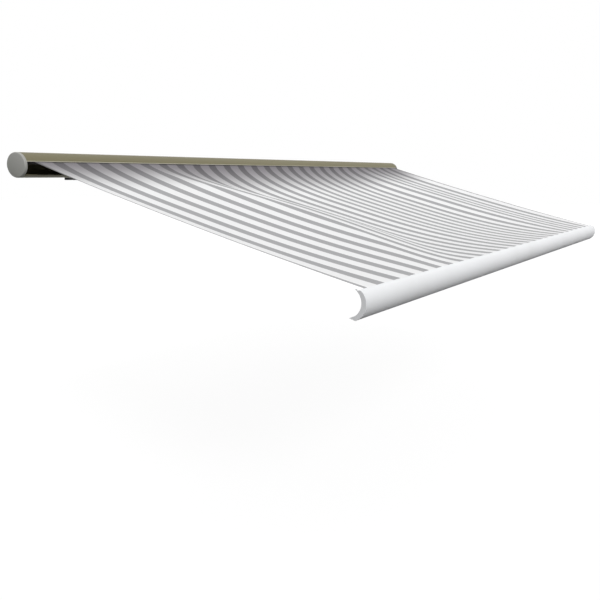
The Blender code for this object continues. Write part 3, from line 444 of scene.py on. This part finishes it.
finished("front_keder", black_plastic, "black_plastic", BOLT_EDGE)

# Cloth. Spun acrylic canvas, woven in grey and white stripes that run out from the wall, is wound
# on the roller and hangs slack between the hood's lip and the bar, in gathers that its weight pulls.
# Its side hems are folded and sewn.
CLOTH_HALF = 3.4
CLOTH_THICKNESS = 0.0006
LIP_GAP = 0.0015
ROLL_S = -0.032
ROLL_N = 0.0395
ROLL_RADIUS = 0.0411
ACROSS_STEPS = 420
OUT_STEPS = 84
HEM_SLACK = 0.022
ARM_SLACK = 0.078
BELLY_SLACK = 0.158
HEM_PULL = 0.25
RIDGE_X = -2.29
RIDGE_WANDER = 0.70
RIDGE_SKEW = 1.1
RIDGE_HEIGHT = 0.045
RIDGE_REACH = 0.456
RIDGE_ROUND = 0.10
LEFT_FLANK_OFFSET = 0.577
LEFT_FLANK = 0.254
RIGHT_FLANK_X = 2.0
RIGHT_FLANK = 0.40
SLACK_SKEW = 0.75
SLACK_FULLNESS = 3.0
SOFT_RIDGES = [(0.0, 0.010, 0.30), (2.3, 0.020, 0.40)]
FIRST_STRIPE = 0.28
STRIPE = 0.113
REPEAT = 0.2535
STRIPE_BLUR = 0.002
HEM_FOLD = 0.018
STITCH = 0.0012
STITCH_PITCH = 0.006
CANVAS_WHITE = (0.88, 0.88, 0.885, 1.0)
CANVAS_GREY = (0.365, 0.365, 0.375, 1.0)
THREAD = (0.55, 0.55, 0.55, 1.0)
SHADE_TONE = (0.215, 0.20, 0.215, 1.0)
SHADE_START = 0.08
SHADE_END = 0.80
THREADS = 900.0
WEAVE_DEPTH = 0.00012
FADE_SCALE = 1.7
FADE_DETAIL = 5.0
FADE_LOW = 0.97
FADE_HIGH = 1.03
CANVAS_ROUGHNESS = 0.88
CANVAS_SHEEN = 0.15


def slack(x, t):
    """Depth under the straight line from lip to bar, at x across and a share t of the way out.

    (1 - |2 t^skew - 1|^fullness) times the arms' depth plus a belly between two tanh flanks, less one
    wandering ridge and the soft ones; towards each hem it turns exponentially into the hem's parabola.
    """
    ridge_x = RIDGE_X + RIDGE_WANDER * np.sin(np.pi * t ** RIDGE_SKEW)
    left = np.tanh((x - ridge_x - LEFT_FLANK_OFFSET) / LEFT_FLANK)
    right = np.tanh((x - RIGHT_FLANK_X) / RIGHT_FLANK)
    belly = (BELLY_SLACK - ARM_SLACK) * (left - right) / 2
    ridges = RIDGE_HEIGHT * np.exp(-np.hypot((x - ridge_x) / RIDGE_REACH, RIDGE_ROUND))
    ridges = ridges + sum(height * np.exp(-((x - at) / half) ** 2) for at, height, half in SOFT_RIDGES)
    along = 1 - np.abs(2 * t ** SLACK_SKEW - 1) ** SLACK_FULLNESS
    loose = along * (ARM_SLACK + belly - ridges)
    hem = HEM_SLACK * (1 - (2 * t - 1) ** 2)
    return loose + (hem - loose) * np.exp(-(CLOTH_HALF - np.abs(x)) / HEM_PULL)


lip_s = (inner_s - LIP_BEAD) * math.cos(HOOD_LIP)
lip_n = (inner_n - LIP_BEAD) * math.sin(HOOD_LIP) - LIP_GAP
lip_reach = math.hypot(lip_s - ROLL_S, lip_n - ROLL_N)
exit_angle = math.atan2(lip_n - ROLL_N, lip_s - ROLL_S) + math.acos(ROLL_RADIUS / lip_reach)
exit_s = ROLL_S + ROLL_RADIUS * math.cos(exit_angle)
exit_n = ROLL_N + ROLL_RADIUS * math.sin(exit_angle)
hold_s = TRAVEL + GROOVE_S - GROOVE_RADIUS
across = np.linspace(-CLOTH_HALF, CLOTH_HALF, ACROSS_STEPS + 1)[:, None]
share = np.linspace(0.0, 1.0, OUT_STEPS + 1)[None, :]
free_end_s = TRAVEL + bar_tip - LIP_GAP
cloth_s = lip_s + (free_end_s - lip_s) * share + 0.0 * across
cloth_n = lip_n + (GROOVE_N - lip_n) * share - slack(across, share)
edge = np.ones_like(across)
cloth_s = np.concatenate((exit_s * edge, cloth_s, hold_s * edge), axis=1)
cloth_n = np.concatenate((exit_n * edge, cloth_n, GROOVE_N * edge), axis=1)
cloth_points = place_section(across, cloth_s, cloth_n)
steps = np.linalg.norm(np.diff(cloth_points, axis=1), axis=2)
run_length = np.concatenate((0.0 * edge, np.cumsum(steps, axis=1)), axis=1)
cloth_mesh = bpy.data.meshes.new("striped_canvas")
cloth_faces = grid_faces(*cloth_points.shape[:2])
cloth_mesh.from_pydata(cloth_points.reshape(-1, 3).tolist(), [], cloth_faces.tolist())
flat_map = cloth_mesh.uv_layers.new(name="flat_cloth")
flat = np.stack(np.broadcast_arrays(across, run_length), axis=-1).reshape(-1, 2)
flat_map.data.foreach_set("uv", flat[cloth_faces.ravel()].ravel())
cloth_mesh.shade_smooth()
cloth = bpy.data.objects.new("striped_canvas", cloth_mesh)
bpy.context.scene.collection.objects.link(cloth)
body = cloth.modifiers.new("thickness", "SOLIDIFY")
body.thickness = CLOTH_THICKNESS
body.offset = 0.0


def canvas_material(name):
    """Canvas on the cloth's flat map (U across, V out, in metres): stripes, stitches, shade and weave."""
    made = bpy.data.materials.new(name)
    made.use_nodes = True
    tree = made.node_tree
    shader = tree.nodes["Principled BSDF"]
    shader.inputs["Roughness"].default_value = CANVAS_ROUGHNESS
    shader.inputs["Sheen Weight"].default_value = CANVAS_SHEEN
    flat_place = add(tree, "UVMap", uv_map="flat_cloth").outputs["UV"]
    parts = add(tree, "SeparateXYZ", {"Vector": flat_place})
    start = WIDTH / 2 - FIRST_STRIPE
    moved = add(tree, "Math", {0: parts.outputs["X"], 1: start}, operation="ADD").outputs[0]
    repeat = add(tree, "Math", {0: moved, 1: REPEAT, 2: 0.0}, operation="WRAP")
    rise = add(tree, "MapRange", {"Value": repeat.outputs[0], "From Min": 0.0, "From Max": STRIPE_BLUR})
    fall = add(tree, "MapRange", {"Value": repeat.outputs[0], "From Min": STRIPE,
                                  "From Max": STRIPE + STRIPE_BLUR, "To Min": 1.0, "To Max": 0.0})
    grey = add(tree, "Math", {0: rise.outputs["Result"], 1: fall.outputs["Result"]}, operation="MULTIPLY")
    fade = add(tree, "TexNoise", {"Vector": flat_place, "Scale": FADE_SCALE, "Detail": FADE_DETAIL})
    tone = add(tree, "MapRange", {"Value": fade.outputs["Fac"], "To Min": FADE_LOW, "To Max": FADE_HIGH})
    dyed = add(tree, "Mix", {"Factor": grey.outputs[0], "A": CANVAS_WHITE, "B": CANVAS_GREY},
               data_type="RGBA")
    sideways = add(tree, "Math", {0: parts.outputs["X"]}, operation="ABSOLUTE")
    inset = add(tree, "Math", {0: CLOTH_HALF, 1: sideways.outputs[0]}, operation="SUBTRACT")
    row = add(tree, "Math", {0: inset.outputs[0], 1: HEM_FOLD, 2: STITCH}, operation="COMPARE")
    beat = add(tree, "Math", {0: parts.outputs["Y"], 1: STITCH_PITCH}, operation="PINGPONG")
    dash = add(tree, "Math", {0: beat.outputs[0], 1: STITCH_PITCH / 3}, operation="GREATER_THAN")
    sewn = add(tree, "Math", {0: row.outputs[0], 1: dash.outputs[0]}, operation="MULTIPLY")
    hemmed = add(tree, "Mix", {"Factor": sewn.outputs[0], "A": dyed.outputs[2], "B": THREAD},
                 data_type="RGBA")
    toned = add(tree, "VectorMath", {0: hemmed.outputs[2], 3: tone.outputs["Result"]}, operation="SCALE")
    shade = add(tree, "MapRange", {"Value": parts.outputs["Y"], "From Min": SHADE_START,
                                   "From Max": SHADE_END, "To Min": 1.0, "To Max": 0.0},
                interpolation_type="SMOOTHSTEP")
    shaded = add(tree, "Mix", {"Factor": shade.outputs["Result"], "A": toned.outputs[0], "B": SHADE_TONE},
                 data_type="RGBA", blend_type="MULTIPLY")
    tree.links.new(shaded.outputs[2], shader.inputs["Base Color"])
    waves = {"Vector": flat_place, "Scale": THREADS / (2 * math.pi)}
    warp = add(tree, "TexWave", waves, bands_direction="X")
    weft = add(tree, "TexWave", waves, bands_direction="Y")
    weave = add(tree, "Math", {0: warp.outputs["Fac"], 1: weft.outputs["Fac"]}, operation="MULTIPLY")
    bump = add(tree, "Bump", {"Height": weave.outputs[0], "Distance": WEAVE_DEPTH})
    tree.links.new(bump.outputs["Normal"], shader.inputs["Normal"])
    return made


canvas = canvas_material("striped_canvas")
settle(cloth, canvas, "striped_cloth", "awning_cloth")
roll = finished("cloth_roll", canvas, "striped_cloth", BOLT_EDGE)
# The turns on the roller carry the flat map on: U is x, and V runs back round the roll.
wound = np.empty(3 * len(roll.data.vertices))
roll.data.vertices.foreach_get("co", wound)
wound = wound.reshape(-1, 3) - AXIS
turn = np.arctan2(wound @ UP - ROLL_N, wound @ OUT - ROLL_S)
wound_flat = np.stack((wound[:, 0], -ROLL_RADIUS * (turn % (2 * math.pi))), axis=1)
roll_corners = np.empty(len(roll.data.loops), dtype=np.int32)
roll.data.loops.foreach_get("vertex_index", roll_corners)
roll_map = roll.data.uv_layers.new(name="flat_cloth")
roll_map.data.foreach_set("uv", wound_flat[roll_corners].ravel())
tuple(place_section(0.0, exit_s, exit_n))
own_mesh(cloth)

# Floor and daylight. A pale floor lies as far below as an awning hangs above a terrace; the
# sky is brighter overhead, and one broad soft lamp stands for the high sun.
FLOOR_Z = -2.6
FLOOR_HALF = 60.0
FLOOR_COLOUR = (0.10, 0.10, 0.10, 1.0)
FLOOR_GLOW = 0.90
FLOOR_ROUGHNESS = 0.9
PLAIN_WHITE = (1.0, 1.0, 1.0, 1.0)
SKY_LOW = 0.08
SKY_HIGH = 0.80
SUN_STRENGTH = 2.05
SUN_SOFTNESS = math.radians(25.0)
SUN_TILT = (math.radians(45.0), math.radians(-35.0), 0.0)


def background_rays(tree):
    """1 for rays that look at the background, also in gloss or through glass; 0 for light on things."""
    rays = add(tree, "LightPath").outputs
    seen = add(tree, "Math", {0: rays["Is Camera Ray"], 1: rays["Is Glossy Ray"]}, operation="MAXIMUM")
    return add(tree, "Math", {0: seen.outputs[0], 1: rays["Is Transmission Ray"]},
               operation="MAXIMUM").outputs[0]


corners = [(x, y, FLOOR_Z) for x, y in ((-1, -1), (1, -1), (1, 1), (-1, 1))]
floor_mesh = bpy.data.meshes.new("floor")
floor_mesh.from_pydata([(x * FLOOR_HALF, y * FLOOR_HALF, z) for x, y, z in corners], [], [(0, 1, 2, 3)])
floor = bpy.data.objects.new("floor", floor_mesh)
bpy.context.scene.collection.objects.link(floor)
floor_paint = bpy.data.materials.new("floor")
floor_paint.use_nodes = True
floor_tree = floor_paint.node_tree
floor_shader = floor_tree.nodes["Principled BSDF"]
floor_shader.inputs["Base Color"].default_value = FLOOR_COLOUR
floor_shader.inputs["Roughness"].default_value = FLOOR_ROUGHNESS
glow = add(floor_tree, "Math", {0: background_rays(floor_tree), 1: FLOOR_GLOW}, operation="MULTIPLY")
floor_shader.inputs["Emission Color"].default_value = PLAIN_WHITE
floor_tree.links.new(glow.outputs[0], floor_shader.inputs["Emission Strength"])
floor_mesh.materials.append(floor_paint)

world = bpy.data.worlds.new("sky")
bpy.context.scene.world = world
world.use_nodes = True
sky_tree = world.node_tree
sky = sky_tree.nodes["Background"]
sky.inputs["Color"].default_value = PLAIN_WHITE
height = add(sky_tree, "SeparateXYZ", {"Vector": add(sky_tree, "TexCoord").outputs["Generated"]})
daylight = add(sky_tree, "MapRange", {"Value": height.outputs["Z"], "To Min": SKY_LOW, "To Max": SKY_HIGH})
level = add(sky_tree, "MapRange", {"Value": background_rays(sky_tree),
                                   "To Min": daylight.outputs["Result"], "To Max": 1.0})
sky_tree.links.new(level.outputs["Result"], sky.inputs["Strength"])

sun_data = bpy.data.lights.new("high_sun", "SUN")
sun_data.energy = SUN_STRENGTH
sun_data.angle = SUN_SOFTNESS
sun = bpy.data.objects.new("high_sun", sun_data)
sun.rotation_euler = SUN_TILT
bpy.context.scene.collection.objects.link(sun)
bpy.context.scene.view_settings.view_transform = "Standard"
